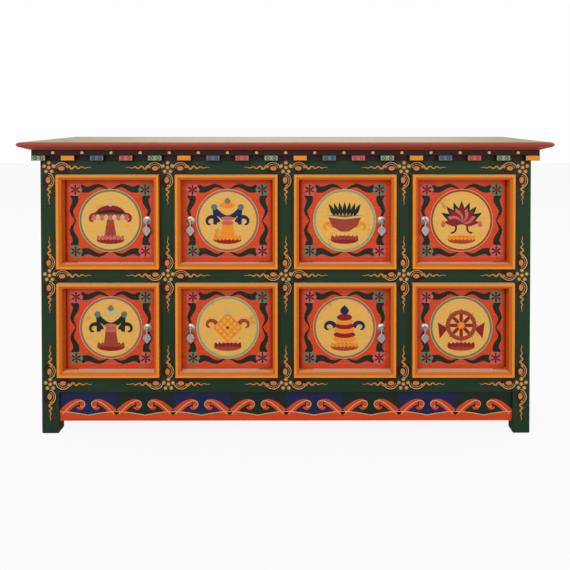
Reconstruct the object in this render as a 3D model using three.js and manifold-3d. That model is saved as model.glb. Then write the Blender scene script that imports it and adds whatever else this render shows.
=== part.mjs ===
// Painted storage cabinet with eight small doors, in millimetres: +X right, front towards -Y, +Z up.
// The origin is on the floor, in the middle of the cabinet's width and depth.
import * as THREE from 'three';
import { mergeVertices } from 'three/addons/utils/BufferGeometryUtils.js';
import Module from 'manifold-3d';

const wasm = await Module();
wasm.setup();

// Driving dimensions
const columns = 4;
const rows = 2;
const openingWidth = 252.5;
const openingHeight = 233;
const postWidth = 42;
const postDepth = 34;
const mullionWidth = 40;
const frameThickness = 30;
const bodyDepth = 347;
const railBottom = 104;
const bottomRailHeight = 41;
const middleRailHeight = 36;
const topRailShow = 35;
const dentilHeight = 13;
const corniceHeight = 13;
const topThickness = 20;
const corniceReach = 16;
const topReach = 27;
const topBackReach = 10;
const seat = 0.3;

const apronBottom = 30;
const apronThickness = 16;
const apronSetback = 6;
const sideThickness = 22;
const panelThickness = 10;
const grooveDepth = 8;
const backThickness = 12;
const boardThickness = 16;
const footRounding = 3;

const dentilWidth = 35;
const dentilCount = 18;
const sideDentilCount = 5;
const dentilStrip = 4;

const surroundFace = 12.5;
const surroundProud = 14;
const surroundFlat = 6;
const surroundSlope = 5;
const doorRecess = 28;
const doorThickness = 16;
const doorGap = 0.8;
const pivotRadius = 4;
const pivotLength = 9;
const pivotPlay = 0.4;
const notchLength = 34;
const notchDepth = 4;
const notchWidth = 11;

const rosetteRadius = 10;
const rosetteHeight = 4;
const pullFromEdge = 21;
const eyeReach = 7;
const earThickness = 1.6;
const eyePinRadius = 1;
const knuckleRadius = 2.6;
const knuckleWidth = 3;
const pendantLength = 38;
const pendantWidth = 20;
const pendantThickness = 3;
const pendantPlay = 0.4;

// Places that follow from the driving dimensions
const bodyWidth = 2 * postWidth + (columns - 1) * mullionWidth + columns * openingWidth;
const topDepth = topReach + corniceReach + bodyDepth + topBackReach;
const topWidth = bodyWidth + 2 * (corniceReach + topReach);
const bodyFront = -topDepth / 2 + topReach + corniceReach;
const bodyBack = bodyFront + bodyDepth;
const bodySide = bodyWidth / 2;
const innerSide = bodySide - postWidth;
const lowerOpening = railBottom + bottomRailHeight;
const upperOpening = lowerOpening + openingHeight + middleRailHeight;
const openingsTop = upperOpening + (rows - 1) * openingHeight;
const dentilBottom = openingsTop + topRailShow;
const corniceBottom = dentilBottom + dentilHeight;
const bodyTop = corniceBottom + corniceHeight;
const frameBack = bodyFront + frameThickness;
const surroundFront = bodyFront - surroundProud;
const doorFront = surroundFront + doorRecess;
const doorWidth = openingWidth - 2 * surroundFace - 2 * doorGap;
const doorHeight = openingHeight - 2 * surroundFace - 2 * doorGap;
const backFace = bodyBack - backThickness;
const bottomTop = lowerOpening - boardThickness / 2;

const paint = {
  top: new THREE.MeshStandardMaterial({ color: '#8f8a62', roughness: 0.75, metalness: 0 }),
  maroon: new THREE.MeshStandardMaterial({ color: '#2c110e', roughness: 0.6, metalness: 0 }),
  green: new THREE.MeshStandardMaterial({ color: '#1b3a1e', roughness: 0.6, metalness: 0 }),
  yellow: new THREE.MeshStandardMaterial({ color: '#dd841e', roughness: 0.55, metalness: 0 }),
  orange: new THREE.MeshStandardMaterial({ color: '#cd4a1c', roughness: 0.6, metalness: 0 }),
  apron: new THREE.MeshStandardMaterial({ color: '#15244c', roughness: 0.6, metalness: 0 }),
  bare: new THREE.MeshStandardMaterial({ color: '#9c7a52', roughness: 0.8, metalness: 0 }),
  metal: new THREE.MeshStandardMaterial({ color: '#9a9490', roughness: 0.35, metalness: 1 }),
};

// A closed solid for joining and cutting, and the geometry that it gives back
function solidOf(geometry) {
  const bare = geometry.clone();
  bare.deleteAttribute('normal');
  bare.deleteAttribute('uv');
  const merged = mergeVertices(bare, 1e-4);
  const triVerts = new Uint32Array(merged.index.array);
  const vertProperties = merged.attributes.position.array;
  return new wasm.Manifold(new wasm.Mesh({ numProp: 3, vertProperties, triVerts }));
}

function geometryOf(solid) {
  const mesh = solid.getMesh();
  const geometry = new THREE.BufferGeometry();
  geometry.setAttribute('position', new THREE.BufferAttribute(new Float32Array(mesh.vertProperties), 3));
  geometry.setIndex(new THREE.BufferAttribute(new Uint32Array(mesh.triVerts), 1));
  geometry.computeVertexNormals();
  return geometry;
}

// A block between two values on each axis
function block(x0, x1, y0, y1, z0, z1) {
  const geometry = new THREE.BoxGeometry(x1 - x0, y1 - y0, z1 - z0);
  return geometry.translate((x0 + x1) / 2, (y0 + y1) / 2, (z0 + z1) / 2);
}

// The first geometry with others joined to it and others cut from it
function carve(geometry, joined, cut) {
  let solid = solidOf(geometry);
  for (const piece of joined) {
    solid = solid.add(solidOf(piece));
  }
  for (const piece of cut) {
    solid = solid.subtract(solidOf(piece));
  }
  return geometryOf(solid);
}

// A closed skin over rings of points that all have the same number of points
function skinOf(rings, closedLoop) {
  const points = rings[0].length;
  const positions = rings.flat().flatMap((p) => [p.x, p.y, p.z]);
  const indices = [];
  const last = closedLoop ? rings.length : rings.length - 1;
  for (let r = 0; r < last; r += 1) {
    const next = (r + 1) % rings.length;
    for (let i = 0; i < points; i += 1) {
      const j = (i + 1) % points;
      indices.push(r * points + i, r * points + j, next * points + j);
      indices.push(r * points + i, next * points + j, next * points + i);
    }
  }
  if (!closedLoop) {
    const end = (rings.length - 1) * points;
    for (let i = 1; i < points - 1; i += 1) {
      indices.push(0, i + 1, i);
      indices.push(end, end + i, end + i + 1);
    }
  }
  const geometry = new THREE.BufferGeometry();
  geometry.setAttribute('position', new THREE.Float32BufferAttribute(positions, 3));
  geometry.setIndex(indices);
  geometry.computeVertexNormals();
  return geometry;
}

function rectangleRing(x0, x1, y0, y1, z) {
  return [
    new THREE.Vector3(x0, y0, z),
    new THREE.Vector3(x1, y0, z),
    new THREE.Vector3(x1, y1, z),
    new THREE.Vector3(x0, y1, z),
  ];
}

const cabinet = new THREE.Group();

function place(name, geometry, material, parent = cabinet) {
  const mesh = new THREE.Mesh(geometry, material);
  mesh.name = name;
  parent.add(mesh);
  return mesh;
}

// Top board: underside slopes out from the cornice to a rounded nose on the front and both ends
const noseLow = 9;
const noseMiddle = 13.5;
const noseInset = 4;
const topEasing = 8;
const topSections = [
  { inset: topReach, up: seat },
  { inset: noseInset, up: noseLow },
  { inset: 0, up: noseMiddle },
  { inset: noseInset / 2, up: topThickness - noseInset / 2 },
  { inset: topEasing, up: topThickness },
];
const topRings = topSections.map(({ inset, up }) => {
  const side = topWidth / 2 - inset;
  return rectangleRing(-side, side, -topDepth / 2 + inset, topDepth / 2, bodyTop + up);
});
place('top_board', skinOf(topRings, false), paint.top);

// A strip that runs along the front or an end and meets its neighbour in a mitre
function mitredStrip(length, inner, outer, z0, z1) {
  const half = length / 2;
  const plan = new THREE.Shape([
    new THREE.Vector2(-half - outer, -outer),
    new THREE.Vector2(half + outer, -outer),
    new THREE.Vector2(half + inner, -inner),
    new THREE.Vector2(-half - inner, -inner),
  ]);
  return new THREE.ExtrudeGeometry(plan, { depth: z1 - z0, bevelEnabled: false }).translate(0, 0, z0);
}

// The same strip along an end: mitred at the front, square at the back
function endStrip(side, inner, outer, z0, z1) {
  const front = bodyFront + seat * 2;
  const plan = new THREE.Shape([
    new THREE.Vector2(inner, front - inner),
    new THREE.Vector2(outer, front - outer),
    new THREE.Vector2(outer, bodyBack),
    new THREE.Vector2(inner, bodyBack),
  ]);
  const geometry = new THREE.ExtrudeGeometry(plan, { depth: z1 - z0, bevelEnabled: false });
  geometry.translate(bodySide, 0, z0);
  return side > 0 ? geometry : geometryOf(solidOf(geometry).mirror([1, 0, 0]));
}

const corniceFront = mitredStrip(bodyWidth, seat, corniceReach, corniceBottom + seat, bodyTop);
place('cornice_front', corniceFront.translate(0, bodyFront, 0), paint.maroon);
place('cornice_left', endStrip(-1, seat, corniceReach, corniceBottom + seat, bodyTop), paint.maroon);
place('cornice_right', endStrip(1, seat, corniceReach, corniceBottom + seat, bodyTop), paint.maroon);

// Dentil strips: a backing strip with blocks as deep as the cornice, at one pitch
const dentilRun = bodyWidth + 2 * corniceReach - dentilWidth;
const dentilPitch = dentilRun / (dentilCount - 1);
const frontBlocks = [];
for (let i = 0; i < dentilCount; i += 1) {
  const x = -dentilRun / 2 + i * dentilPitch;
  const outside = bodyFront - corniceReach;
  const first = x - dentilWidth / 2;
  frontBlocks.push(block(first, first + dentilWidth, outside, bodyFront - seat, dentilBottom, corniceBottom));
}
const dentilBacking = block(-bodySide, bodySide, bodyFront - dentilStrip, bodyFront - seat, dentilBottom, corniceBottom);
place('dentil_row_front', carve(dentilBacking, frontBlocks, []), paint.maroon);
for (const side of [-1, 1]) {
  const blocks = [];
  const sideFirst = bodyFront + dentilPitch - corniceReach;
  const sidePitch = (bodyBack - dentilWidth - sideFirst) / (sideDentilCount - 1);
  for (let i = 0; i < sideDentilCount; i += 1) {
    const y = sideFirst + i * sidePitch;
    const x = side * bodySide;
    const near = x + side * seat;
    const far = x + side * corniceReach;
    blocks.push(block(Math.min(near, far), Math.max(near, far), y, y + dentilWidth, dentilBottom, corniceBottom));
  }
  const near = side * (bodySide + seat);
  const far = side * (bodySide + dentilStrip);
  const stripFront = bodyFront + seat;
  const low = Math.min(near, far);
  const high = Math.max(near, far);
  const backing = block(low, high, stripFront, bodyBack, dentilBottom, corniceBottom);
  place(side < 0 ? 'dentil_row_left' : 'dentil_row_right', carve(backing, blocks, []), paint.maroon);
}

// Corner posts run to the floor, with their feet eased and grooves for the panels between them
const sidePanelX = bodySide - sideThickness / 2;
const sidePanelFront = bodyFront + postDepth - grooveDepth;
const sidePanelBack = bodyBack - postDepth + grooveDepth;
const sideRailHigh = bottomRailHeight;
const sideTopRail = dentilBottom - topRailShow;
const panelLow = lowerOpening - grooveDepth;
const panelHigh = sideTopRail + grooveDepth;
const backLow = railBottom;
const backSide = innerSide + grooveDepth;

function easedPost(x0, x1, y0, y1) {
  const rings = [
    rectangleRing(x0 + footRounding, x1 - footRounding, y0 + footRounding, y1 - footRounding, 0),
    rectangleRing(x0, x1, y0, y1, footRounding),
    rectangleRing(x0, x1, y0, y1, bodyTop),
  ];
  return skinOf(rings, false);
}

for (const side of [-1, 1]) {
  const outer = side * bodySide;
  const inner = side * innerSide;
  const x0 = Math.min(outer, inner);
  const x1 = Math.max(outer, inner);
  const panelX = side * sidePanelX;
  const grooveHalf = panelThickness / 2 + seat;
  const sideName = side < 0 ? 'left' : 'right';
  const frontGroove = block(
    panelX - grooveHalf, panelX + grooveHalf,
    sidePanelFront - seat, bodyFront + postDepth + 1,
    panelLow - seat, panelHigh + seat,
  );
  const backGroove = block(
    panelX - grooveHalf, panelX + grooveHalf,
    bodyBack - postDepth - 1, sidePanelBack + seat,
    panelLow - seat, panelHigh + seat,
  );
  const boardGroove = block(
    Math.min(side * (backSide + seat), inner - side), Math.max(side * (backSide + seat), inner - side),
    backFace - 2 - seat, bodyBack - 2 + seat, backLow - seat, bodyTop + 1,
  );
  const front = easedPost(x0, x1, bodyFront, bodyFront + postDepth);
  const back = easedPost(x0, x1, bodyBack - postDepth, bodyBack);
  place(`front_post_${sideName}`, carve(front, [], [frontGroove]), paint.green);
  place(`back_post_${sideName}`, carve(back, [], [backGroove, boardGroove]), paint.green);

  const railFront = bodyFront + postDepth + seat;
  const railBack = bodyBack - postDepth - seat;
  const railInner = side * (bodySide - sideThickness);
  const railX0 = Math.min(outer, railInner);
  const railX1 = Math.max(outer, railInner);
  const lowRail = block(railX0, railX1, railFront, railBack, railBottom, railBottom + sideRailHigh);
  const highRail = block(railX0, railX1, railFront, railBack, sideTopRail, bodyTop);
  const railGroove = block(
    panelX - grooveHalf, panelX + grooveHalf,
    railFront - 1, railBack + 1, panelLow - seat, panelHigh + seat,
  );
  place(`side_rail_bottom_${sideName}`, carve(lowRail, [], [railGroove]), paint.green);
  place(`side_rail_top_${sideName}`, carve(highRail, [], [railGroove]), paint.green);
  const panel = block(
    panelX - panelThickness / 2, panelX + panelThickness / 2,
    sidePanelFront, sidePanelBack, panelLow, panelHigh,
  );
  place(`side_panel_${sideName}`, panel, paint.orange);
}

// Front rails and the mullions that cross the middle rail in half laps
const railSide = innerSide - seat;
const mullionAt = [];
for (let i = 1; i < columns; i += 1) {
  mullionAt.push(-innerSide + i * openingWidth + (i - 0.5) * mullionWidth);
}
const lapDepth = bodyFront + frameThickness / 2;
const middleLow = lowerOpening + openingHeight;
const middleHigh = middleLow + middleRailHeight;
const lapCuts = mullionAt.map((x) => block(
  x - mullionWidth / 2 - seat, x + mullionWidth / 2 + seat,
  bodyFront - 1, lapDepth + seat / 2, middleLow - 1, middleHigh + 1,
));
const bottomRail = block(-railSide, railSide, bodyFront, frameBack, railBottom, lowerOpening);
const middleRail = block(-railSide, railSide, bodyFront, frameBack, middleLow, middleHigh);
const topRail = block(-railSide, railSide, bodyFront, frameBack, openingsTop, bodyTop);
place('front_rail_bottom', bottomRail, paint.green);
place('front_rail_middle', carve(middleRail, [], lapCuts), paint.green);
place('front_rail_top', topRail, paint.green);
const mullionNames = ['left', 'centre', 'right'];
mullionAt.forEach((x, i) => {
  const upright = block(
    x - mullionWidth / 2, x + mullionWidth / 2, bodyFront, frameBack,
    lowerOpening + seat, openingsTop - seat,
  );
  const lap = block(
    x - mullionWidth / 2 - 1, x + mullionWidth / 2 + 1,
    lapDepth - seat / 2, frameBack + 1, middleLow - seat, middleHigh + seat,
  );
  place(`mullion_${mullionNames[i]}`, carve(upright, [], [lap]), paint.green);
});

// Apron under the bottom rail, a little behind the frame
const apronFront = bodyFront + apronSetback;
const apron = block(
  -railSide, railSide, apronFront, apronFront + apronThickness,
  apronBottom, railBottom - seat,
);
place('front_apron', apron, paint.apron);

// Back board in the grooves of the back posts
const backBoard = block(-backSide, backSide, backFace - 2, bodyBack - 2, backLow, bodyTop);
place('back_panel', backBoard, paint.bare);

// Bottom board, shelf and centre partition
const insideFront = frameBack + seat;
const insideBack = backFace - 2 - seat;
const insideSide = bodySide - sideThickness - seat;
const postClear = postDepth + seat;
function boardBetweenPosts(z0, z1) {
  const plate = block(-insideSide, insideSide, insideFront, insideBack, z0, z1);
  const corners = [];
  for (const side of [-1, 1]) {
    const low = Math.min(side * (innerSide - seat), side * (insideSide + 1));
    const high = Math.max(side * (innerSide - seat), side * (insideSide + 1));
    corners.push(block(low, high, insideFront - 1, bodyFront + postClear, z0 - 1, z1 + 1));
    corners.push(block(low, high, bodyBack - postClear, insideBack + 1, z0 - 1, z1 + 1));
  }
  return { plate, corners };
}
const bottomBoard = boardBetweenPosts(bottomTop - boardThickness, bottomTop);
place('bottom_board', carve(bottomBoard.plate, [], bottomBoard.corners), paint.bare);

const shelfLow = middleLow + (middleRailHeight - boardThickness) / 2;
const shelfHigh = shelfLow + boardThickness;
const crossing = (insideFront + insideBack) / 2;
const partitionHalf = boardThickness / 2;
const shelf = boardBetweenPosts(shelfLow, shelfHigh);
const shelfSlot = block(
  -partitionHalf - seat, partitionHalf + seat, crossing - seat / 2, insideBack + 1,
  shelfLow - 1, shelfHigh + 1,
);
place('shelf', carve(shelf.plate, [], [...shelf.corners, shelfSlot]), paint.bare);
const partition = block(
  -partitionHalf, partitionHalf, insideFront, insideBack,
  bottomTop + seat, bodyTop,
);
const partitionSlot = block(
  -partitionHalf - 1, partitionHalf + 1, insideFront - 1, crossing + seat / 2,
  shelfLow - seat, shelfHigh + seat,
);
place('centre_partition', carve(partition, [], [partitionSlot]), paint.bare);

// A mitred surround: its section is swept round the opening, flat outside and sloping in at the front
function surroundGeometry() {
  const back = frameBack;
  const width = openingWidth - 2 * seat;
  const height = openingHeight - 2 * seat;
  const face = surroundFace - seat;
  const section = [
    { inset: 0, y: back },
    { inset: 0, y: surroundFront },
    { inset: surroundFlat, y: surroundFront },
    { inset: face, y: surroundFront + surroundSlope },
    { inset: face, y: back },
  ];
  const rings = [[1, 1], [-1, 1], [-1, -1], [1, -1]].map(([sx, sz]) => section.map(({ inset, y }) => (
    new THREE.Vector3(sx * (width / 2 - inset), y, sz * (height / 2 - inset))
  )));
  return skinOf(rings.reverse(), true);
}

// A door: a board with a round hinge edge and a pivot pin at each end, about its own hinge line
function doorGeometry(hand) {
  const half = doorThickness / 2;
  const plan = new THREE.Shape();
  plan.moveTo(0, -half);
  plan.lineTo(doorWidth - half, -half);
  plan.lineTo(doorWidth - half, half);
  plan.lineTo(0, half);
  plan.absarc(0, 0, half, Math.PI / 2, Math.PI * 1.5, false);
  const leaf = new THREE.ExtrudeGeometry(plan, { depth: doorHeight, bevelEnabled: false, curveSegments: 8 });
  leaf.translate(0, 0, -doorHeight / 2);
  const reach = doorHeight + 2 * pivotLength;
  const pin = new THREE.CylinderGeometry(pivotRadius, pivotRadius, reach, 16).rotateX(Math.PI / 2);
  const solid = solidOf(leaf).add(solidOf(pin));
  return geometryOf(hand > 0 ? solid : solid.mirror([1, 0, 0]));
}

// Pull plate: a turned dome with two ears that hold a pin across them, facing the front
function rosetteGeometry() {
  const dome = [
    new THREE.Vector2(0, 0),
    new THREE.Vector2(rosetteRadius, 0),
    new THREE.Vector2(rosetteRadius, rosetteHeight * 0.35),
    new THREE.Vector2(rosetteRadius * 0.72, rosetteHeight * 0.6),
    new THREE.Vector2(rosetteRadius * 0.45, rosetteHeight),
    new THREE.Vector2(0, rosetteHeight),
  ];
  const plate = new THREE.LatheGeometry(dome, 16).rotateX(Math.PI);
  const earIn = knuckleWidth / 2 + pendantPlay;
  const ears = [-1, 1].map((side) => {
    const x0 = side < 0 ? -earIn - earThickness : earIn;
    return block(x0, x0 + earThickness, -eyeReach - knuckleRadius, -rosetteHeight / 2, -knuckleRadius, knuckleRadius);
  });
  const pinLength = 2 * earIn + earThickness;
  const pin = new THREE.CylinderGeometry(eyePinRadius, eyePinRadius, pinLength, 12).rotateZ(Math.PI / 2);
  pin.translate(0, -eyeReach, 0);
  return carve(plate, [...ears, pin], []);
}

// Pendant: a bored knuckle, a thin neck and a pointed leaf, about its own pin
function pendantGeometry() {
  const knuckle = new THREE.CylinderGeometry(knuckleRadius, knuckleRadius, knuckleWidth, 16).rotateZ(Math.PI / 2);
  const neckBottom = -pendantLength * 0.34;
  const halfNeck = knuckleWidth / 2;
  const halfThick = pendantThickness / 2;
  const neck = block(-halfNeck, halfNeck, -halfThick, halfThick, neckBottom - 1, -knuckleRadius * 0.6);
  const wide = pendantWidth / 2;
  const outline = new THREE.Shape();
  outline.moveTo(0, -pendantLength);
  outline.quadraticCurveTo(wide * 0.45, -pendantLength * 0.9, wide, -pendantLength * 0.66);
  outline.quadraticCurveTo(wide * 0.9, -pendantLength * 0.44, halfNeck, neckBottom);
  outline.lineTo(-halfNeck, neckBottom);
  outline.quadraticCurveTo(-wide * 0.9, -pendantLength * 0.44, -wide, -pendantLength * 0.66);
  outline.quadraticCurveTo(-wide * 0.45, -pendantLength * 0.9, 0, -pendantLength);
  const leaf = new THREE.ExtrudeGeometry(outline, { depth: pendantThickness, bevelEnabled: false, curveSegments: 5 });
  leaf.translate(0, 0, -halfThick).rotateX(Math.PI / 2);
  const boreRadius = eyePinRadius + pendantPlay;
  const bore = new THREE.CylinderGeometry(boreRadius, boreRadius, knuckleWidth + 2, 12).rotateZ(Math.PI / 2);
  return carve(knuckle, [neck, leaf], [bore]);
}

// Each bay: its surround with pivot sockets, and its door with the pull
const socketRadius = pivotRadius + pivotPlay;
const socketDepth = pivotLength - doorGap + 0.5;
const doorNames = ['a', 'b', 'c', 'd'];
for (let row = 0; row < rows; row += 1) {
  for (let column = 0; column < columns; column += 1) {
    const hand = column % 2 === 0 ? 1 : -1;
    const x = -innerSide + openingWidth / 2 + column * (openingWidth + mullionWidth);
    const z = (row === 0 ? upperOpening : lowerOpening) + openingHeight / 2;
    const tag = `${row === 0 ? 'upper' : 'lower'}_${doorNames[column]}`;
    const hingeX = -hand * (doorWidth / 2 - doorThickness / 2);
    const hingeY = doorFront + doorThickness / 2;
    const clear = openingHeight / 2 - surroundFace;
    const sockets = [-1, 1].map((end) => {
      const hole = new THREE.CylinderGeometry(socketRadius, socketRadius, 2 * socketDepth, 16);
      return hole.rotateX(Math.PI / 2).translate(hingeX, hingeY, end * clear);
    });
    const jamb = -hand * clear - hand * (openingWidth - openingHeight) / 2;
    const notchEnd = jamb + hand * notchLength;
    const notch = block(
      Math.min(jamb, notchEnd), Math.max(jamb, notchEnd),
      doorFront + 3 - notchWidth, doorFront + 3, -clear - notchDepth, -clear + 1,
    );
    const surround = place(`surround_${tag}`, carve(surroundGeometry(), [], [...sockets, notch]), paint.yellow);
    surround.position.set(x, 0, z);

    const door = new THREE.Group();
    door.position.set(x + hingeX, hingeY, z);
    cabinet.add(door);
    place(`door_${tag}`, doorGeometry(hand), paint.orange, door);
    const pull = new THREE.Group();
    pull.position.set(hand * (doorWidth - doorThickness / 2 - pullFromEdge), -doorThickness / 2 - seat, 0);
    door.add(pull);
    place(`pull_plate_${tag}`, rosetteGeometry(), paint.metal, pull);
    const pendant = place(`pull_pendant_${tag}`, pendantGeometry(), paint.metal, pull);
    pendant.position.set(0, -eyeReach, 0);
  }
}

export default cabinet;
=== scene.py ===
import math
import bpy
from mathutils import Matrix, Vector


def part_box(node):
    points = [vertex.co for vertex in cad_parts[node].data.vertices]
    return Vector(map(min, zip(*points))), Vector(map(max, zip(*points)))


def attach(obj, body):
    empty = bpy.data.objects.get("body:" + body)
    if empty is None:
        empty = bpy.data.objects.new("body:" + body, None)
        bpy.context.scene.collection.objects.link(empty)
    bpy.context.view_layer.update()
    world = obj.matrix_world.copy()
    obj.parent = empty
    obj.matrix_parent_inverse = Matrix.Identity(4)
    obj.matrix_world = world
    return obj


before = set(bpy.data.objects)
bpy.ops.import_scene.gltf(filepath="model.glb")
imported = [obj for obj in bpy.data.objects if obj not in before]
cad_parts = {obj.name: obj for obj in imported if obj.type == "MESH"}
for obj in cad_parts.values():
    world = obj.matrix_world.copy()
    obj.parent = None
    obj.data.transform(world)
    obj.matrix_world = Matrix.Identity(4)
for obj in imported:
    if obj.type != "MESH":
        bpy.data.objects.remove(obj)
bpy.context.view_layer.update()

mm = 0.001


# sRGB hex to the linear colour that a shader takes
def linear(hexText):
    parts = [int(hexText[i:i + 2], 16) / 255 for i in (1, 3, 5)]
    return [c / 12.92 if c <= 0.04045 else ((c + 0.055) / 1.055) ** 2.4 for c in parts] + [1.0]


def addNode(tree, kind, settings=None, inputs=None):
    node = tree.nodes.new(kind)
    for key, value in (settings or {}).items():
        setattr(node, key, value)
    for key, value in (inputs or {}).items():
        if isinstance(value, bpy.types.NodeSocket):
            tree.links.new(value, node.inputs[key])
        else:
            node.inputs[key].default_value = value
    return node


def startMaterial(name):
    material = bpy.data.materials.new(name)
    material.use_nodes = True
    return material, material.node_tree, material.node_tree.nodes["Principled BSDF"]


# Hand-mixed mineral paint brushed on wood: streaks, small worn spots and a soft, uneven sheen.
# The streaks are drawn coarser than real bristle marks, so that they show
brush = {"stretch": 12, "streakDetail": 5.0, "blotchMm": 38, "blotchDetail": 6.0, "blotchRoughness": 0.68,
         "wornEdge": 0.08, "wornMost": 0.75, "smoother": 0.08, "rougher": 0.16, "relief": 0.25,
         "reliefMm": 0.4, "specular": 0.22}


def brushedPaint(name, colour, second, worn, streakMm=9, wearAt=0.66, along="X", rough=0.5):
    material, tree, shader = startMaterial(name)
    place = addNode(tree, "ShaderNodeTexCoord").outputs["Object"]
    across = 1 / (streakMm * mm)
    lengthwise = 1 / (streakMm * brush["stretch"] * mm)
    streakScale = [lengthwise if axis == along else across for axis in "XYZ"]
    streaks = addNode(tree, "ShaderNodeMapping", inputs={"Vector": place, "Scale": streakScale})
    bristle = addNode(tree, "ShaderNodeTexNoise", inputs={
        "Vector": streaks.outputs[0], "Scale": 1.0, "Detail": brush["streakDetail"]})
    blotch = addNode(tree, "ShaderNodeTexNoise", inputs={
        "Vector": place, "Scale": 1 / (brush["blotchMm"] * mm), "Detail": brush["blotchDetail"],
        "Roughness": brush["blotchRoughness"]})
    fresh = addNode(tree, "ShaderNodeMix", {"data_type": "RGBA"},
                    {0: bristle.outputs["Fac"], 6: linear(colour), 7: linear(second)})
    wear = addNode(tree, "ShaderNodeMapRange", inputs={
        "Value": blotch.outputs["Fac"], "From Min": wearAt, "From Max": wearAt + brush["wornEdge"],
        "To Max": brush["wornMost"]})
    painted = addNode(tree, "ShaderNodeMix", {"data_type": "RGBA"},
                      {0: wear.outputs[0], 6: fresh.outputs[2], 7: linear(worn)})
    sheen = addNode(tree, "ShaderNodeMapRange", inputs={
        "Value": bristle.outputs["Fac"], "To Min": rough - brush["smoother"],
        "To Max": rough + brush["rougher"]})
    relief = addNode(tree, "ShaderNodeBump", inputs={
        "Height": bristle.outputs["Fac"], "Strength": brush["relief"], "Distance": brush["reliefMm"] * mm})
    tree.links.new(painted.outputs[2], shader.inputs["Base Color"])
    tree.links.new(sheen.outputs[0], shader.inputs["Roughness"])
    tree.links.new(relief.outputs[0], shader.inputs["Normal"])
    shader.inputs["Specular IOR Level"].default_value = brush["specular"]  # old matt paint shines little
    return material, painted.outputs[2]


def plainPaint(name, colour, second, worn, **more):
    return brushedPaint(name, colour, second, worn, **more)[0]


# Surround: amber on the flat face, darker orange on the slope and reveals, a pale painted highlight on
# upward faces
surroundLook = {"slope": "#c8641a", "paintedHighlight": "#dcc0a0", "frontNormal": -0.95, "upNormal": 0.9}


def surroundPaint():
    material, amber = brushedPaint("amber paint on mitred moulding", "#e8921e", "#d57818", "#9a4a16",
                                   streakMm=5)
    tree = material.node_tree
    facing = addNode(tree, "ShaderNodeNewGeometry").outputs["True Normal"]
    normal = addNode(tree, "ShaderNodeSeparateXYZ", inputs={0: facing})
    flat = addNode(tree, "ShaderNodeMath", {"operation": "LESS_THAN"},
                   {0: normal.outputs["Y"], 1: surroundLook["frontNormal"]})
    upward = addNode(tree, "ShaderNodeMath", {"operation": "GREATER_THAN"},
                     {0: normal.outputs["Z"], 1: surroundLook["upNormal"]})
    sloped = addNode(tree, "ShaderNodeMix", {"data_type": "RGBA"},
                     {0: flat.outputs[0], 6: linear(surroundLook["slope"]), 7: amber})
    # Upward faces are painted pale: a painted highlight where light from above catches them
    highlightedTop = addNode(tree, "ShaderNodeMix", {"data_type": "RGBA"},
                    {0: upward.outputs[0], 6: sloped.outputs[2], 7: linear(surroundLook["paintedHighlight"])})
    tree.links.new(highlightedTop.outputs[2], tree.nodes["Principled BSDF"].inputs["Base Color"])
    return material


# Top board: brick red on the shaped nose, worn olive varnish on the upward face
topLook = {"nose": "#9c3f2c", "upNormal": 0.97}


def topBoardPaint():
    material, varnish = brushedPaint("red nose, varnished top", "#a59a70", "#8b8258", "#c3b184",
                                     streakMm=14)
    tree = material.node_tree
    facing = addNode(tree, "ShaderNodeNewGeometry").outputs["True Normal"]
    normal = addNode(tree, "ShaderNodeSeparateXYZ", inputs={0: facing})
    upward = addNode(tree, "ShaderNodeMath", {"operation": "GREATER_THAN"},
                     {0: normal.outputs["Z"], 1: topLook["upNormal"]})
    both = addNode(tree, "ShaderNodeMix", {"data_type": "RGBA"},
                   {0: upward.outputs[0], 6: linear(topLook["nose"]), 7: varnish})
    tree.links.new(both.outputs[2], tree.nodes["Principled BSDF"].inputs["Base Color"])
    return material


# White metal, cast and rubbed: bright patches with dull grey ones between
metalLook = {"dull": "#4c4644", "bright": "#d8d2cc", "grainMm": 4, "detail": 4.0,
             "smooth": 0.25, "rough": 0.5}


def castMetal():
    material, tree, shader = startMaterial("cast white metal, rubbed")
    place = addNode(tree, "ShaderNodeTexCoord").outputs["Object"]
    grain = addNode(tree, "ShaderNodeTexNoise", inputs={
        "Vector": place, "Scale": 1 / (metalLook["grainMm"] * mm), "Detail": metalLook["detail"]})
    tone = addNode(tree, "ShaderNodeMix", {"data_type": "RGBA"}, {
        0: grain.outputs["Fac"], 6: linear(metalLook["dull"]), 7: linear(metalLook["bright"])})
    rubbed = addNode(tree, "ShaderNodeMapRange", inputs={
        "Value": grain.outputs["Fac"], "To Min": metalLook["smooth"], "To Max": metalLook["rough"]})
    tree.links.new(tone.outputs[2], shader.inputs["Base Color"])
    tree.links.new(rubbed.outputs[0], shader.inputs["Roughness"])
    shader.inputs["Metallic"].default_value = 1.0
    return material


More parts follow.
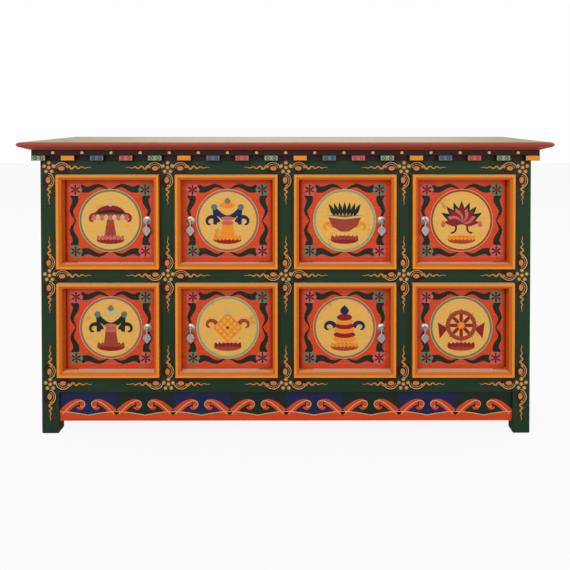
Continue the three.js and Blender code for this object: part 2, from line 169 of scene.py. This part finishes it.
# Each paint has its colour, the tone of its streaks and the tone of its worn spots
paints = {
    "green": plainPaint("green mineral paint on pine", "#17351b", "#0e2412", "#2f3d22", streakMm=6),
    "upright": plainPaint("green mineral paint, upright", "#17351b", "#0e2412", "#2b3a20",
                          streakMm=6, along="Z"),
    "maroon": plainPaint("maroon lac over pine", "#2a0f0d", "#170807", "#43201a"),
    "orange": plainPaint("vermilion mineral paint", "#d84a18", "#b93510", "#8e2b10", streakMm=5),
    "bare": plainPaint("bare planed pine", "#a5814f", "#8a683d", "#6f5230", streakMm=4, rough=0.7),
    "side": plainPaint("side panel vermilion paint", "#b23c16", "#96300f", "#6e250f", streakMm=8, along="Z"),
    "navy": plainPaint("navy mineral paint", "#12204f", "#0b1434", "#1f2b50"),
    "leaf": plainPaint("dark leaf green paint", "#0c2318", "#071510", "#1d3a2a", streakMm=3),
    "gold": plainPaint("raised gesso with gold wash", "#c88a45", "#a8662c", "#7a3c1c", streakMm=3),
    "cream": plainPaint("raised gesso with cream wash", "#cdb784", "#b29a66", "#8b6a44", streakMm=3),
    "disc": plainPaint("cream yellow ground, stippled", "#e0b25a", "#cf9a44", "#b9802f",
                       streakMm=2, wearAt=0.6),
    "sage": plainPaint("grey green paint", "#6f7a5f", "#59664f", "#4b5444"),
    "mauve": plainPaint("mauve paint", "#9a6660", "#83524e", "#6a423e"),
    "mint": plainPaint("pale green paint", "#8fa37c", "#76896a", "#5f7056"),
    "crimson": plainPaint("crimson lake paint", "#8e1420", "#6f0d18", "#4b0a12"),
    "brick": plainPaint("brick red paint", "#a2402a", "#842f20", "#5f2218"),
    "pink": plainPaint("rose paint", "#c96a62", "#a84c4a", "#7b3634"),
    "slate": plainPaint("blue grey paint", "#5f7480", "#4a5c68", "#3b4a54"),
    "amber": plainPaint("amber yellow paint", "#e8901c", "#d8761a", "#a85214"),
    "surround": surroundPaint(),
    "topBoard": topBoardPaint(),
    "metal": castMetal(),
}
nodePaints = {"top_board": "topBoard", "cornice": "maroon", "dentil": "maroon", "front_post": "upright",
              "back_post": "upright", "mullion": "upright", "side_rail": "green", "front_rail": "green",
              "side_panel": "side", "front_apron": "navy", "surround": "surround", "door": "orange",
              "pull": "metal", "back_panel": "bare", "bottom_board": "bare", "shelf": "bare",
              "centre_partition": "bare"}
for name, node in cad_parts.items():
    kind = next(start for start in nodePaints if name.startswith(start))
    node.data.materials.clear()
    node.data.materials.append(paints[nodePaints[kind]])
print("finishes on", len(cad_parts), "nodes")

drawings = {}  # from (body, group, paint) to the points and faces of its closed plates and strokes


def addPrism(target, front, back, faces):
    verts, polys = drawings.setdefault(target, ([], []))
    first = len(verts)
    verts.extend(front + back)
    polys.extend([[first + i for i in face] for face in faces])


def area(outline):
    return sum(a[0] * b[1] - b[0] * a[1] for a, b in zip(outline, outline[1:] + outline[:1])) / 2


# A painted shape: a thin closed plate on the plane y, its outline in mm as (x, z)
def plate(target, outline, y, rise):
    ring = outline if area(outline) > 0 else outline[::-1]
    n = len(ring)
    front = [(x * mm, (y - rise) * mm, z * mm) for x, z in ring]
    back = [(x * mm, y * mm, z * mm) for x, z in ring]
    faces = [list(range(n)), [2 * n - 1 - i for i in range(n)]]
    faces += [[i, n + i, n + (i + 1) % n, (i + 1) % n] for i in range(n)]
    addPrism(target, front, back, faces)


# A brush stroke: a thin closed ribbon in mm. widths is one width, or the widths at its two ends
def stroke(target, points, widths, y, rise):
    first, last = (widths, widths) if isinstance(widths, (int, float)) else widths
    n = len(points)
    m = 2 * n
    left, right = [], []
    for i, (x, z) in enumerate(points):
        ax, az = points[max(i - 1, 0)]
        bx, bz = points[min(i + 1, n - 1)]
        dx, dz = bx - ax, bz - az
        size = math.hypot(dx, dz) or 1
        w = (first + (last - first) * i / (n - 1)) / 2
        left.append((x - dz / size * w, z + dx / size * w))
        right.append((x + dz / size * w, z - dx / size * w))
    front = [(x * mm, (y - rise) * mm, z * mm) for x, z in left + right]
    back = [(x * mm, y * mm, z * mm) for x, z in left + right]
    faces = []
    for i in range(n - 1):
        faces.append([i, n + i, n + i + 1, i + 1])
        faces.append([m + i + 1, m + n + i + 1, m + n + i, m + i])
        faces.append([i + 1, m + i + 1, m + i, i])
        faces.append([n + i, m + n + i, m + n + i + 1, n + i + 1])
    faces.append([0, m, m + n, n])
    faces.append([n - 1, 2 * n - 1, m + 2 * n - 1, m + n - 1])
    addPrism(target, front, back, faces)


def circle(cx, cz, rx, rz=None, steps=28):
    rz = rx if rz is None else rz
    return [(cx + rx * math.cos(2 * math.pi * i / steps), cz + rz * math.sin(2 * math.pi * i / steps))
            for i in range(steps)]


def ringStroke(target, cx, cz, radius, width, y, rise, steps=64):
    points = circle(cx, cz, radius, steps=steps)
    stroke(target, points + points[:1], width, y, rise)


def spiral(cx, cz, r0, r1, start, turn, steps=22):
    points = []
    for i in range(steps + 1):
        radius = r0 + (r1 - r0) * i / steps
        angle = start + turn * i / steps
        points.append((cx + radius * math.cos(angle), cz + radius * math.sin(angle)))
    return points


# A petal's two sides run from its root to its tip and back, widest before the middle
def petal(cx, cz, angle, length, width, steps=8, fullness=0.8):
    points = []
    for side, order in ((1, range(steps + 1)), (-1, range(steps, -1, -1))):
        for i in order:
            t = i / steps
            across = side * width / 2 * math.sin(math.pi * t ** fullness)
            along = length * t
            points.append((cx + along * math.cos(angle) - across * math.sin(angle),
                           cz + along * math.sin(angle) + across * math.cos(angle)))
    return points[:-1]


def rectangle(cx, cz, halfX, halfZ):
    return [(cx + sx * halfX, cz + sz * halfZ) for sx, sz in ((-1, -1), (1, -1), (1, 1), (-1, 1))]


# A leaf that sways along its spine, with round lobes that shrink towards its tip
leafLook = {"steps": 16, "sway": 5, "halfWaves": 2.4, "tip": 2, "rise": 0.4, "lobesAt": range(2, 13, 2),
            "lobe": 0.5, "lobeFade": 20, "lobeRise": 0.42, "lobeStep": 0.003}


def wavyLeaf(target, x0, z0, angle, length, width, y, flip):
    spine = []
    for i in range(leafLook["steps"] + 1):
        t = i / leafLook["steps"]
        off = flip * leafLook["sway"] * math.sin(t * leafLook["halfWaves"] * math.pi)
        spine.append((x0 + length * t * math.cos(angle) - off * math.sin(angle),
                      z0 + length * t * math.sin(angle) + off * math.cos(angle)))
    stroke(target, spine, (width, leafLook["tip"]), y, leafLook["rise"])
    for i in leafLook["lobesAt"]:
        lobe = circle(*spine[i], width * leafLook["lobe"] * (1 - i / leafLook["lobeFade"]), steps=12)
        plate(target, lobe, y, leafLook["lobeRise"] + i * leafLook["lobeStep"])


# The traditional emblems, in a plain hand, about (x, z) on the plane y. Lengths are mm. The last number
# of a plate or stroke is its rise: what rises more shows on top
seat = {"down": 38, "rim": (27, 8), "rimRise": 0.5, "petals": 7, "petalDown": 39, "half": 21, "pitch": 7,
        "lean": 0.12, "petal": (11, 8), "petalRise": 0.62, "riseStep": 0.01}
curl = {"inner": 3, "turn": -4.6, "widths": (9, 3), "rise": 0.54, "riseStep": 0.01}


def lotusSeat(on, x, z, y, paint, rim):
    plate(on(rim), circle(x, z - seat["down"], *seat["rim"]), y, seat["rimRise"])
    for i in range(seat["petals"]):
        angle = math.pi / 2 + (seat["petals"] // 2 - i) * seat["lean"]
        leaf = petal(x - seat["half"] + i * seat["pitch"], z - seat["petalDown"], angle, *seat["petal"])
        plate(on(paint), leaf, y, seat["petalRise"] + i * seat["riseStep"])


def curls(on, x, z, y, paint, out=33, up=-4, size=15):
    for side in (-1, 1):
        points = spiral(x + side * out, z + up, size, curl["inner"], math.pi / 2 * (1 + side),
                        side * curl["turn"])
        stroke(on(paint), points, curl["widths"], y, curl["rise"] + side * curl["riseStep"])


def parasol(on, x, z, y):
    curls(on, x, z, y, "crimson", 33, 2, 13)
    halfTurn = [math.pi * i / 16 for i in range(17)]
    plate(on("crimson"), [(x + 32 * math.cos(a), z + 6 + 24 * math.sin(a)) for a in halfTurn], y, 0.65)
    for i in range(9):
        tassel = circle(x - 32 + i * 8, z + 6, 4.4, 6, 14)
        plate(on("cream" if i % 2 else "pink"), tassel, y, 0.75 + i * 0.01)
    stroke(on("leaf"), [(x - 25, z + 15), (x, z + 19), (x + 25, z + 15)], 5, y, 0.8)
    plate(on("cream"), petal(x, z + 27, math.pi / 2, 17, 13), y, 0.9)
    plate(on("brick"), [(x - 6, z + 4), (x - 12, z - 32), (x + 12, z - 32), (x + 6, z + 4)], y, 0.55)
    lotusSeat(on, x, z, y, "pink", "crimson")


def scarfedVase(on, x, z, y, scarf, lid, vase):
    curls(on, x, z, y, scarf)
    drape = [(x - 26 + 52 * i / 20, z + 22 - 17 * math.sin(math.pi * i / 20)) for i in range(21)]
    stroke(on(scarf), drape, 10, y, 0.65)
    for side in (-1, 1):
        tail = [(x + side * 24, z + 22 - 5 * i) for i in range(7)]
        stroke(on(scarf), tail, (9, 7), y, 0.68 + side * 0.01)
        plate(on("slate"), circle(x + side * 26, z + 26, 6), y, 0.8)
    plate(on(lid), circle(x, z + 30, 15, 6), y, 0.75)
    plate(on("sage"), petal(x, z + 32, math.pi / 2, 13, 12), y, 0.85)
    plate(on(vase), [(x - 8, z + 8), (x - 14, z - 32), (x + 14, z - 32), (x + 8, z + 8)], y, 0.55)
    for i in range(2):
        plate(on("pink"), circle(x, z + 4 - i * 9, 13 - i, 4), y, 0.7 + i * 0.02)
    lotusSeat(on, x, z, y, vase, "crimson")


def offeringBowl(on, x, z, y):
    plate(on("brick"), [(x - 34, z + 10), (x - 24, z - 12), (x - 7, z - 22), (x + 7, z - 22),
                        (x + 24, z - 12), (x + 34, z + 10)], y, 0.6)
    for i in range(7):
        leaf = petal(x - 18 + i * 6, z + 8, math.pi / 2 + (3 - i) * 0.16, 28, 8)
        plate(on("leaf"), leaf, y, 0.55 + i * 0.01)
    stroke(on("cream"), [(x - 33, z + 8), (x, z + 4), (x + 33, z + 8)], 4, y, 0.75)
    curls(on, x, z, y, "amber", 34, -14, 10)
    lotusSeat(on, x, z, y, "brick", "crimson")


def lotusFlower(on, x, z, y):
    for i in range(7):
        plate(on("leaf"), petal(x, z - 8, math.pi / 6 + i * math.pi / 9, 46, 15), y, 0.5 + i * 0.01)
    for i in range(9):
        flowerPetal = petal(x, z - 4, i * math.pi / 8, 34 - 4 * (i % 2), 15)
        plate(on("pink" if i % 2 else "crimson"), flowerPetal, y, 0.7 + i * 0.01)
    for side in (-1, 1):
        stem = spiral(x + side * 22, z - 18, 16, 6, math.pi / 2, side * 3)
        stroke(on("leaf"), stem, (4, 3), y, 0.6)
        plate(on("pink"), petal(x + side * 36, z - 14, math.pi / 2, 14, 9), y, 0.9)
    lotusSeat(on, x, z, y, "amber", "brick")


def endlessKnot(on, x, z, y, pitch=9, reach=17, shrink=0.75):
    for i in range(-2, 3):
        for turned in (-1, 1):
            a = (x + (i * pitch - reach) * shrink, z + turned * (-i * pitch - reach) * shrink)
            b = (x + (i * pitch + reach) * shrink, z + turned * (-i * pitch + reach) * shrink)
            stroke(on("amber"), [a, b], 4, y, 0.75 + 0.03 * (i % 2) * turned)
    curls(on, x, z, y, "brick", 34, 4, 13)
    plate(on("cream"), petal(x, z + 26, math.pi / 2, 16, 14), y, 0.8)
    lotusSeat(on, x, z, y, "crimson", "brick")


def banner(on, x, z, y):
    curls(on, x, z, y, "navy", 31, 0, 13)
    for i in range(6):
        tier = circle(x, z + 20 - i * 8.5, 15 + i * 1.6, 6.5, 20)
        plate(on("amber" if i % 2 else "crimson"), tier, y, 0.85 - i * 0.03)
    plate(on("navy"), petal(x, z + 24, math.pi / 2, 20, 17), y, 0.9)
    lotusSeat(on, x, z, y, "amber", "brick")


def wheel(on, x, z, y, spokes=8):
    for i in range(spokes):
        plate(on("crimson"), petal(x, z + 4, i * 2 * math.pi / spokes, 34, 7), y, 0.7)
    ringStroke(on("brick"), x, z + 4, 26, 8, y, 0.8, steps=48)
    plate(on("amber"), circle(x, z + 4, 7), y, 0.95)
    for side in (-1, 1):
        ribbon = [(x + side * 26, z - 2), (x + side * 46, z + 10), (x + side * 42, z - 22)]
        plate(on("crimson"), ribbon, y, 0.6)
    lotusSeat(on, x, z, y, "crimson", "brick")


# Each door's emblem with its own colours, and the paint of the ring round its disc
doorArt = {
    "upper_a": ("sage", parasol),
    "upper_b": ("mauve", scarfedVase, "navy", "amber", "amber"),
    "upper_c": ("mint", offeringBowl),
    "upper_d": ("brick", lotusFlower),
    "lower_a": ("mauve", scarfedVase, "leaf", "cream", "brick"),
    "lower_b": ("mint", endlessKnot),
    "lower_c": ("mauve", banner),
    "lower_d": ("sage", wheel),
}
doorLook = {"edgeHalf": (101, 91), "edgeLine": 1.6, "edgeRise": 0.2, "ring": 79, "ringRise": 0.5,
            "rimIn": 1, "rimLine": 1.4, "rimRise": 0.6, "disc": 72, "discRise": 0.62, "emblemSize": 1.28,
            "emblemLift": 0.3, "corner": 14, "leafStart": 12, "leafShift": 5, "leafWidth": 19,
            "leafAcross": 74, "leafUp": 66}
flower = {"petals": 6, "out": 10, "petal": 7, "rise": 0.45, "heart": 5.5, "heartRise": 0.58}


def cornerFlower(on, tone, cx, cz, y):
    for i in range(flower["petals"]):
        a = i * 2 * math.pi / flower["petals"]
        around = (cx + flower["out"] * math.cos(a), cz + flower["out"] * math.sin(a))
        plate(on(tone), circle(*around, flower["petal"], steps=12), y, flower["rise"])
    plate(on("crimson"), circle(cx, cz, flower["heart"], steps=14), y, flower["heartRise"])


# Enlarges what is drawn of a door's emblem about its disc's centre
def enlargeEmblem(body, x, z, grow):
    for (owner, group, _), (verts, _) in drawings.items():
        if (owner, group) == (body, "emblem"):
            verts[:] = [((vx / mm - x) * grow * mm + x * mm, vy, (vz / mm - z) * grow * mm + z * mm)
                        for vx, vy, vz in verts]


def doorPainting(tag):
    ringPaint, drawEmblem, *colours = doorArt[tag]
    body = f"door_{tag}"
    low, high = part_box(f"surround_{tag}")
    x, z = (low[0] + high[0]) / 2 / mm, (low[2] + high[2]) / 2 / mm
    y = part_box(body)[0][1] / mm
    halfX, halfZ = doorLook["edgeHalf"]

    def on(paint):
        return body, "painting", paint

    def onEmblem(paint):
        return body, "emblem", paint

    corners = rectangle(x, z, halfX, halfZ)
    for a, b in zip(corners, corners[1:] + corners[:1]):
        stroke(on("pink"), [a, b], doorLook["edgeLine"], y, doorLook["edgeRise"])
    for sx in (-1, 1):
        for sz in (-1, 1):
            cx, cz = x + sx * (halfX - doorLook["corner"]), z + sz * (halfZ - doorLook["corner"])
            start, shift, width = doorLook["leafStart"], doorLook["leafShift"], doorLook["leafWidth"]
            wavyLeaf(on("leaf"), cx - sx * start, cz + sz * shift, math.pi if sx > 0 else 0,
                     doorLook["leafAcross"], width, y, sx * sz)
            wavyLeaf(on("leaf"), cx + sx * shift, cz - sz * start, -sz * math.pi / 2,
                     doorLook["leafUp"], width, y, -sx * sz)
            cornerFlower(on, "pink" if sx * sz < 0 else "sage", cx, cz, y)
    plate(on(ringPaint), circle(x, z, doorLook["ring"], steps=64), y, doorLook["ringRise"])
    ringStroke(on("cream"), x, z, doorLook["ring"] - doorLook["rimIn"], doorLook["rimLine"], y,
               doorLook["rimRise"])
    plate(on("disc"), circle(x, z, doorLook["disc"], steps=64), y, doorLook["discRise"])
    drawEmblem(onEmblem, x, z, y - doorLook["emblemLift"], *colours)
    enlargeEmblem(body, x, z, doorLook["emblemSize"])


for tag in doorArt:
    doorPainting(tag)
print("doors painted")

# A gold scroll from a crossing: comma curl, two arcs and a wavy tail, on a dark backing. Sizes are mm
# along (u) and across (v) its own direction
scroll = {"backing": (33, 1, 20, 17), "backingRise": 0.2, "comma": (31, -2, 8, 5.5), "commaRise": 0.5,
          "arcCentre": (32, -3), "arcStretch": 1.15, "arcs": {"gold": 11, "cream": 15.5}, "arcSteps": 16,
          "arcFrom": 0.1, "arcLine": 1.8, "arcRise": 0.45, "tailStart": 44, "sway": 4.5, "swayTurn": 0.95,
          "swayFade": 26, "tailSteps": 24, "tailBacking": (9, 3), "tailBackingRise": 0.25,
          "tail": (5.5, 1.2), "tailRise": 0.5, "across": 104, "up": 98, "down": 92, "topRailUp": 17}


def flourish(x, z, angle, side, y, length):
    def at(u, v):
        v *= side
        return x + u * math.cos(angle) - v * math.sin(angle), z + u * math.sin(angle) + v * math.cos(angle)

    def on(paint):
        return "root", "frame", paint

    backing = [at(u, v) for u, v in circle(*scroll["backing"], steps=26)]
    plate(on("maroon"), backing, y, scroll["backingRise"])
    plate(on("gold"), [at(u, v) for u, v in circle(*scroll["comma"], steps=18)], y, scroll["commaRise"])
    arcU, arcV = scroll["arcCentre"]
    turns = [i * math.pi / scroll["arcSteps"] + scroll["arcFrom"] for i in range(scroll["arcSteps"])]
    for paint, radius in scroll["arcs"].items():
        arc = [at(arcU + radius * scroll["arcStretch"] * math.cos(a), arcV + radius * math.sin(a))
               for a in turns]
        stroke(on(paint), arc, scroll["arcLine"], y, scroll["arcRise"])
    start, steps = scroll["tailStart"], scroll["tailSteps"]
    tail = []
    for i in range(steps + 1):
        off = scroll["sway"] * math.sin(i * scroll["swayTurn"]) * (1 - i / scroll["swayFade"])
        tail.append(at(start + (length - start) * i / steps, off))
    stroke(on("maroon"), tail, scroll["tailBacking"], y, scroll["tailBackingRise"])
    stroke(on("gold"), tail, scroll["tail"], y, scroll["tailRise"])


# A rosette of dots where rails and uprights cross
rosette = {"petals": 5, "out": 12, "dot": 4.6, "dotRise": 0.9, "spot": 2.2, "spotRise": 1.1}


def crossingRosette(x, z, y):
    dots = [(x, z)]
    for i in range(rosette["petals"]):
        a = math.pi / 2 + i * 2 * math.pi / rosette["petals"]
        dots.append((x + rosette["out"] * math.cos(a), z + rosette["out"] * math.sin(a)))
    for dot in dots:
        plate(("root", "frame", "gold"), circle(*dot, rosette["dot"], steps=14), y, rosette["dotRise"])
        plate(("root", "frame", "cream"), circle(*dot, rosette["spot"], steps=12), y, rosette["spotRise"])


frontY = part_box("front_rail_top")[0][1] / mm
railMid = {row: sum(corner[2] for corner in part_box(f"front_rail_{row}")) / 2 / mm
           for row in ("bottom", "middle")}
# The block row hides the top rail's upper part, so its scrolls run at the middle of what shows
railMid["top"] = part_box("front_rail_top")[0][2] / mm + scroll["topRailUp"]
uprights = ("front_post_left", "mullion_left", "mullion_centre", "mullion_right", "front_post_right")
uprightMid = [sum(corner[0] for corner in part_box(name)) / 2 / mm for name in uprights]
lastColumn = len(uprights) - 1
for row, z in railMid.items():
    for column, x in enumerate(uprightMid):
        crossingRosette(x, z, frontY)
        if column < lastColumn:
            flourish(x, z, 0, -1 if row == "bottom" else 1, frontY, scroll["across"])
        if column > 0:
            flourish(x, z, math.pi, -1 if row == "top" else 1, frontY, scroll["across"])
        if row != "top":
            flourish(x, z, math.pi / 2, -1, frontY, scroll["up"])
        if row != "bottom" or column in (0, lastColumn):
            flourish(x, z, -math.pi / 2, 1, frontY, scroll["down"])
print("frame scrolls drawn")

# A coloured face on each block of the front row, with two small rings on all but the amber ones, and
# cream dots on the cornice above the gaps
blocks = {"count": 18, "width": 35, "faceHalf": (16, 5.6), "faces": ("mint", "amber", "slate", "pink"),
          "faceRise": 0.3, "rings": ("leaf", None, "navy", "crimson"), "ringOut": 8, "ring": 3.4,
          "ringLine": 1.8, "ringRise": 0.6, "dot": (4, 3.4), "dotRise": 0.9}
corniceLow, corniceHigh = [[c / mm for c in corner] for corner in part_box("cornice_front")]
blockLow, blockHigh = [[c / mm for c in corner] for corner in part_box("dentil_row_front")]
pitch = (blockHigh[0] - blockLow[0] - blocks["width"]) / (blocks["count"] - 1)
blockMid = (blockLow[2] + blockHigh[2]) / 2
corniceMid = (corniceLow[2] + corniceHigh[2]) / 2
for i in range(blocks["count"]):
    x = blockLow[0] + blocks["width"] / 2 + i * pitch
    tone = i % len(blocks["faces"])
    face = rectangle(x, blockMid, *blocks["faceHalf"])
    plate(("root", "blocks", blocks["faces"][tone]), face, blockLow[1], blocks["faceRise"])
    ringPaint = blocks["rings"][tone]
    if ringPaint:
        for side in (-1, 1):
            ringStroke(("root", "blocks", ringPaint), x + side * blocks["ringOut"], blockMid, blocks["ring"],
                       blocks["ringLine"], blockLow[1], blocks["ringRise"])
    if i < blocks["count"] - 1:
        dot = circle(x + pitch / 2, corniceMid, *blocks["dot"], steps=16)
        plate(("root", "cornice", "cream"), dot, corniceLow[1], blocks["dotRise"])

# Apron: green and navy grounds behind a low orange field that rises in pairs of curling waves.
# Sizes are mm, and lean and curlOut are shares of one wave's span
apron = {"waves": 8, "groundRise": 0.15, "field": 14, "swell": 9, "swellSteps": 10, "fieldRise": 0.3,
         "lift": 34, "lean": 0.34, "bend": 1.5, "liftSteps": 12, "curlOut": 0.16, "curlUp": 37,
         "curl": (11, 4), "curlTurn": 4.2, "curlSteps": 16, "wave": (20, 5), "waveRise": 0.45,
         "line": (2, 1.4), "lineIn": 6, "lineUp": 3, "lineRise": 0.6, "edgeLine": 1.8, "edgeRise": 0.7}
apronLow, apronHigh = [[c / mm for c in corner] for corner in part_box("front_apron")]
apronY, base = apronLow[1], apronLow[2]
fieldTop = base + apron["field"]
span = (apronHigh[0] - apronLow[0]) / apron["waves"]


def apronOn(paint):
    return "root", "apron", paint


for i in range(apron["waves"]):
    left = apronLow[0] + i * span
    middle = left + span / 2
    if i % 2:
        ground = [(left, base), (left + span, base), (left + span, apronHigh[2]), (left, apronHigh[2])]
        plate(apronOn("leaf"), ground, apronY, apron["groundRise"])
    edge = []
    for t in range(apron["swellSteps"] + 1):
        share = t / apron["swellSteps"]
        edge.append((left + span * (1 - share), fieldTop + apron["swell"] * abs(math.cos(math.pi * share))))
    field = [(left, base), (left + span, base), (left + span, fieldTop + apron["swell"])] + edge
    plate(apronOn("orange"), field, apronY, apron["fieldRise"])
    for side in (-1, 1):
        wave = []
        for t in range(apron["liftSteps"] + 1):
            share = t / apron["liftSteps"]
            wave.append((middle + side * (span / 2 - apron["lean"] * span * share),
                         fieldTop + apron["lift"] * math.sin(share * apron["bend"])))
        wave += spiral(middle + side * span * apron["curlOut"], base + apron["curlUp"], *apron["curl"],
                       math.pi / 2, side * apron["curlTurn"], apron["curlSteps"])
        outline = [(a - side * apron["lineIn"], b + apron["lineUp"]) for a, b in wave]
        stroke(apronOn("orange"), wave, apron["wave"], apronY, apron["waveRise"])
        stroke(apronOn("cream"), outline, apron["line"], apronY, apron["lineRise"])
    stroke(apronOn("cream"), edge, apron["edgeLine"], apronY, apron["edgeRise"])
print("cornice, blocks and apron painted")

for (body, group, paint), (verts, polys) in drawings.items():
    name = f"{group}_{paint}_{body}"
    mesh = bpy.data.meshes.new(name)
    mesh.from_pydata(verts, [], polys)
    mesh.validate()
    mesh.update()
    mesh.materials.append(paints[paint])
    piece = bpy.data.objects.new(name, mesh)
    bpy.context.collection.objects.link(piece)
    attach(piece, body)

# Pale floor that the camera sees nearly white, and a world that lights softly but shows white
studio = {"floorHalf": 9, "floorTone": (0.85, 0.85, 0.85, 1), "floorRoughness": 0.9, "floorGlow": 0.9,
          "worldLight": 0.46, "aim": (0.0, 0.0, 0.4)}
lamps = {"key": {"spot": (-1.4, -3.2, 2.6), "size": 2.2, "watts": 66},
         "fill": {"spot": (2.4, -3.0, 1.6), "size": 2.5, "watts": 35},
         "back": {"spot": (0, 2.6, 2.4), "size": 2.5, "watts": 40}}

half = studio["floorHalf"]
floorMesh = bpy.data.meshes.new("floor")
floorCorners = [(x, z, 0) for x, z in rectangle(0, 0, half, half)]
floorMesh.from_pydata(floorCorners, [], [[0, 1, 2, 3]])
floor = bpy.data.objects.new("floor", floorMesh)
bpy.context.collection.objects.link(floor)
floorPaint, tree, shader = startMaterial("pale studio floor")
shader.inputs["Base Color"].default_value = studio["floorTone"]
shader.inputs["Roughness"].default_value = studio["floorRoughness"]
path = addNode(tree, "ShaderNodeLightPath")
seen = addNode(tree, "ShaderNodeMath", {"operation": "MULTIPLY"},
               {0: path.outputs["Is Camera Ray"], 1: studio["floorGlow"]})
glow = addNode(tree, "ShaderNodeEmission", inputs={"Strength": 1.0})
blend = addNode(tree, "ShaderNodeMixShader",
                inputs={0: seen.outputs[0], 1: shader.outputs[0], 2: glow.outputs[0]})
tree.links.new(blend.outputs[0], tree.nodes["Material Output"].inputs[0])
floorMesh.materials.append(floorPaint)

world = bpy.data.worlds.new("studio")
bpy.context.scene.world = world
world.use_nodes = True
tree = world.node_tree
path = addNode(tree, "ShaderNodeLightPath")
seen = addNode(tree, "ShaderNodeMath", {"operation": "MAXIMUM"},
               {0: path.outputs["Is Camera Ray"], 1: path.outputs["Is Glossy Ray"]})
level = addNode(tree, "ShaderNodeMapRange", inputs={
    "Value": seen.outputs[0], "To Min": studio["worldLight"], "To Max": 1.0})
tree.nodes["Background"].inputs["Color"].default_value = (1, 1, 1, 1)
tree.links.new(level.outputs[0], tree.nodes["Background"].inputs["Strength"])

for name, look in lamps.items():
    light = bpy.data.lights.new(name, "AREA")
    light.size = look["size"]
    light.energy = look["watts"]
    lamp = bpy.data.objects.new(name, light)
    lamp.location = look["spot"]
    aimX, aimY, aimZ = [a - s for a, s in zip(studio["aim"], look["spot"])]
    tilt = math.pi / 2 + math.atan2(aimZ, math.hypot(aimX, aimY))
    lamp.rotation_euler = (tilt, 0, math.atan2(aimY, aimX) - math.pi / 2)
    bpy.context.collection.objects.link(lamp)

# The camera stands where the photograph's did. Its focal length, centre and frame are in pixels, its
# place is in metres and its turns are in radians
view = {"focal": 663.9, "centre": (306.8, 125.9), "frame": 570, "sensor": 36,
        "place": (0.0485, -1.798, 0.796), "pitch": 0.0177, "yaw": 0.002}
cameraData = bpy.data.cameras.new("camera")
cameraData.sensor_width = view["sensor"]
cameraData.lens = view["focal"] / view["frame"] * view["sensor"]
cameraData.shift_x = (view["frame"] / 2 - view["centre"][0]) / view["frame"]
cameraData.shift_y = (view["centre"][1] - view["frame"] / 2) / view["frame"]
camera = bpy.data.objects.new("camera", cameraData)
camera.location = view["place"]
camera.rotation_euler = (math.pi / 2 - view["pitch"], 0, -view["yaw"])
bpy.context.collection.objects.link(camera)
bpy.context.scene.camera = camera
bpy.context.scene.view_settings.view_transform = "Standard"
print("stage and camera set")
